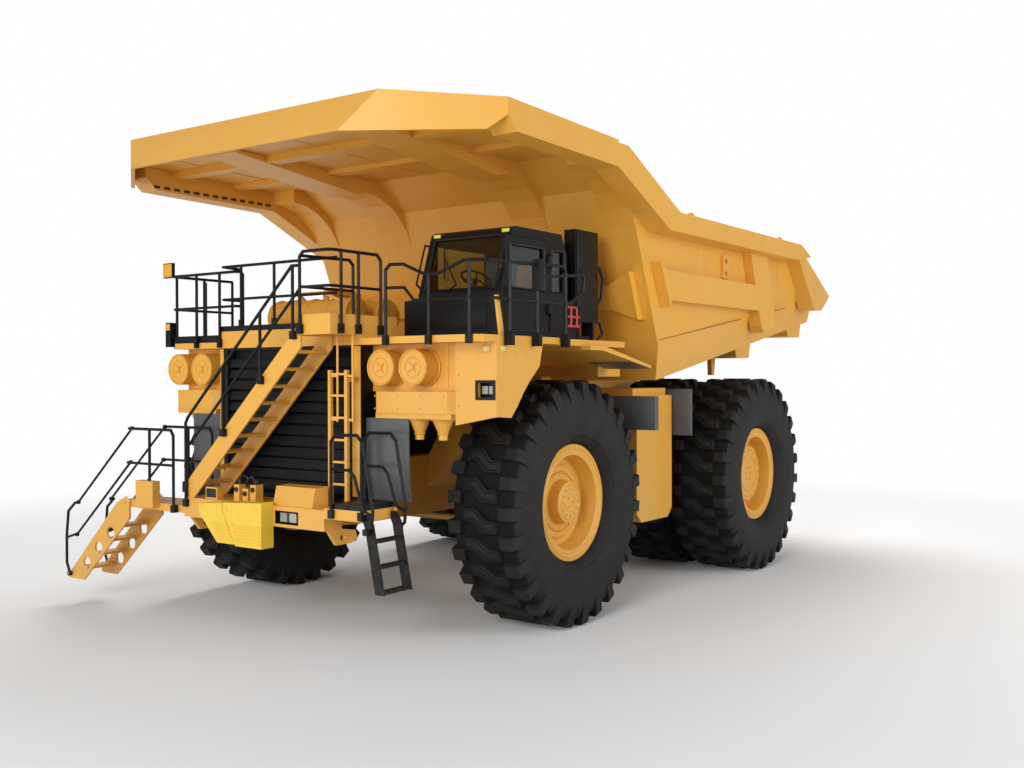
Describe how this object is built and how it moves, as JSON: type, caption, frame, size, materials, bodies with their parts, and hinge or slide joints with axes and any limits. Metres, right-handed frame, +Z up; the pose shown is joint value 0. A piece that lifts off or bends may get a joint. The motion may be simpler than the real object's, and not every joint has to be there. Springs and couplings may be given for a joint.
{
  "type": "mining_dump_truck",
  "caption": "Rigid mining dump truck in yellow paint with a tipping bed, two-stage hoists, steered front wheels, twin rear wheels and a folding boarding stair",
  "frame": {"origin": "Under the middle of the whole truck's box, on the ground", "axes": "+X to the machine's left (the cab side), +Y to the rear along the truck, +Z up"},
  "size_m": [8.182, 13.34, 7.1958],
  "materials": {
    "yellow_paint": "satin",
    "black_paint": "satin",
    "grey_paint": "satin",
    "chromed_steel": "polished",
    "tyre_rubber": "matte",
    "tinted_glass": "gloss",
    "lamp_lens": "gloss",
    "chock_plastic": "matte",
    "seat_fabric": "matte"
  },
  "bodies": {
    "chassis": {"main_frame": "yellow_paint", "frame_members": "yellow_paint", "suspension_struts": "yellow_paint", "rear_axle_housing": "yellow_paint", "bumper": "yellow_paint", "lamps": "lamp_lens", "left_ladder": "black_paint", "grille_ladder": "yellow_paint", "wheel_chocks": "chock_plastic", "radiator_surround": "black_paint", "radiator_core": "black_paint", "grille_slats": "black_paint", "engine_block": "black_paint", "fender_panels": "yellow_paint", "air_cleaners": "yellow_paint", "wheel_guards": "grey_paint", "tanks": "yellow_paint", "deck": "yellow_paint", "deck_grating": "black_paint", "deck_flaps": "yellow_paint", "cross_beams": "yellow_paint", "exhaust_modules": "yellow_paint", "cab_shell": "black_paint", "cab_glass": "tinted_glass", "cab_seat": "seat_fabric", "side_cabinet": "black_paint", "diagonal_stair": "yellow_paint", "stair_landing": "yellow_paint", "handrails": "black_paint"},
    "dump_bed": {"bed_floor": "yellow_paint", "bed_flanks": "yellow_paint", "bed_beams": "yellow_paint", "bed_bolsters": "yellow_paint", "bed_wall_left": "yellow_paint", "bed_wall_right": "yellow_paint", "bed_front_wall": "yellow_paint", "bed_canopy": "yellow_paint"},
    "hoist_barrel_left": {"hoist_barrel_left": "yellow_paint"},
    "hoist_barrel_right": {"hoist_barrel_right": "yellow_paint"},
    "hoist_stage_left": {"hoist_stage_left": "chromed_steel"},
    "hoist_stage_right": {"hoist_stage_right": "chromed_steel"},
    "hoist_rod_left": {"hoist_rod_left": "chromed_steel"},
    "hoist_rod_right": {"hoist_rod_right": "chromed_steel"},
    "knuckle_left": {"knuckle_left": "yellow_paint"},
    "knuckle_right": {"knuckle_right": "yellow_paint"},
    "tie_rod": {"tie_rod": "yellow_paint"},
    "wheel_front_left": {"tyre_front_left": "tyre_rubber", "rim_front_left": "yellow_paint"},
    "wheel_front_right": {"tyre_front_right": "tyre_rubber", "rim_front_right": "yellow_paint"},
    "wheel_rear_left": {"tyre_rear_pair_left": "tyre_rubber", "rim_rear_pair_left": "yellow_paint"},
    "wheel_rear_right": {"tyre_rear_pair_right": "tyre_rubber", "rim_rear_pair_right": "yellow_paint"},
    "cab_door": {"cab_door": "black_paint", "cab_door_glass": "tinted_glass"},
    "folding_stair": {"folding_stair": "yellow_paint"},
    "stair_posts": {"stair_posts": "black_paint"},
    "stair_top_rails": {"stair_top_rails": "black_paint"},
    "stair_mid_rails": {"stair_mid_rails": "black_paint"}
  },
  "joints": [
    {"name": "bed_tilt", "type": "hinge", "parent": "chassis", "child": "dump_bed", "pos_m": [0.281, 4.07, 3.09585], "axis": [-1, 0, 0], "range_deg": [0, 45]},
    {"name": "hoist_tilt_left", "type": "hinge", "parent": "chassis", "child": "hoist_barrel_left", "pos_m": [1.431, 0.57, 1.44585], "axis": [-1, 0, 0], "range_deg": [-0.5, 13]},
    {"name": "hoist_stage_left", "type": "slide", "parent": "hoist_barrel_left", "child": "hoist_stage_left", "axis": [0, 0.098, 0.9952], "range_m": [0, 1.2444]},
    {"name": "hoist_rod_left", "type": "slide", "parent": "hoist_stage_left", "child": "hoist_rod_left", "axis": [0, 0.098, 0.9952], "range_m": [0, 1.2444]},
    {"name": "hoist_tilt_right", "type": "hinge", "parent": "chassis", "child": "hoist_barrel_right", "pos_m": [-0.869, 0.57, 1.44585], "axis": [-1, 0, 0], "range_deg": [-0.5, 13]},
    {"name": "hoist_stage_right", "type": "slide", "parent": "hoist_barrel_right", "child": "hoist_stage_right", "axis": [0, 0.098, 0.9952], "range_m": [0, 1.2444]},
    {"name": "hoist_rod_right", "type": "slide", "parent": "hoist_stage_right", "child": "hoist_rod_right", "axis": [0, 0.098, 0.9952], "range_m": [0, 1.2444]},
    {"name": "steer_left", "type": "hinge", "parent": "chassis", "child": "knuckle_left", "pos_m": [2.181, -3.03, 1.78585], "axis": [0, 0, 1], "range_deg": [-36, 36]},
    {"name": "steer_right", "type": "hinge", "parent": "chassis", "child": "knuckle_right", "pos_m": [-1.619, -3.03, 1.78585], "axis": [0, 0, 1], "range_deg": [-36, 36]},
    {"name": "tie_rod_pin", "type": "hinge", "parent": "knuckle_left", "child": "tie_rod", "pos_m": [2.181, -2.43, 1.39585], "axis": [0, 0, 1], "range_deg": [-36, 36]},
    {"name": "spin_front_left", "type": "hinge", "parent": "knuckle_left", "child": "wheel_front_left", "pos_m": [3.121, -3.03, 1.78585], "axis": [1, 0, 0], "continuous": true},
    {"name": "spin_front_right", "type": "hinge", "parent": "knuckle_right", "child": "wheel_front_right", "pos_m": [-2.559, -3.03, 1.78585], "axis": [1, 0, 0], "continuous": true},
    {"name": "spin_rear_left", "type": "hinge", "parent": "chassis", "child": "wheel_rear_left", "pos_m": [2.762, 2.875, 1.78585], "axis": [1, 0, 0], "continuous": true},
    {"name": "spin_rear_right", "type": "hinge", "parent": "chassis", "child": "wheel_rear_right", "pos_m": [-2.2, 2.875, 1.78585], "axis": [1, 0, 0], "continuous": true},
    {"name": "cab_door_hinge", "type": "hinge", "parent": "chassis", "child": "cab_door", "pos_m": [3.266, -3.22, 4.59585], "axis": [0, 0, 1], "range_deg": [0, 40]},
    {"name": "stair_fold", "type": "hinge", "parent": "chassis", "child": "folding_stair", "pos_m": [-2.589, -5.93, 1.69585], "axis": [0, 1, 0], "range_deg": [0, 115]},
    {"name": "stair_posts_pin", "type": "hinge", "parent": "folding_stair", "child": "stair_posts", "pos_m": [-3.999, -5.93, 0.47585], "axis": [0, 1, 0], "range_deg": [-115, 0]},
    {"name": "stair_top_rail_pin", "type": "hinge", "parent": "chassis", "child": "stair_top_rails", "pos_m": [-2.419, -5.93, 2.84585], "axis": [0, 1, 0], "range_deg": [0, 115]},
    {"name": "stair_mid_rail_pin", "type": "hinge", "parent": "chassis", "child": "stair_mid_rails", "pos_m": [-2.459, -5.93, 2.32585], "axis": [0, 1, 0], "range_deg": [0, 115]}
  ],
  "couplings": [
    {"joint": "hoist_tilt_left", "follows": "bed_tilt", "ratio": 0.2675},
    {"joint": "hoist_stage_left", "follows": "bed_tilt", "m_per_rad": 1.5818},
    {"joint": "hoist_rod_left", "follows": "bed_tilt", "m_per_rad": 1.5818},
    {"joint": "hoist_tilt_right", "follows": "bed_tilt", "ratio": 0.2675},
    {"joint": "hoist_stage_right", "follows": "bed_tilt", "m_per_rad": 1.5818},
    {"joint": "hoist_rod_right", "follows": "bed_tilt", "m_per_rad": 1.5818},
    {"joint": "steer_right", "follows": "steer_left", "ratio": 1},
    {"joint": "tie_rod_pin", "follows": "steer_left", "ratio": -1},
    {"joint": "stair_posts_pin", "follows": "stair_fold", "ratio": -1},
    {"joint": "stair_top_rail_pin", "follows": "stair_fold", "ratio": 1},
    {"joint": "stair_mid_rail_pin", "follows": "stair_fold", "ratio": 1}
  ]
}
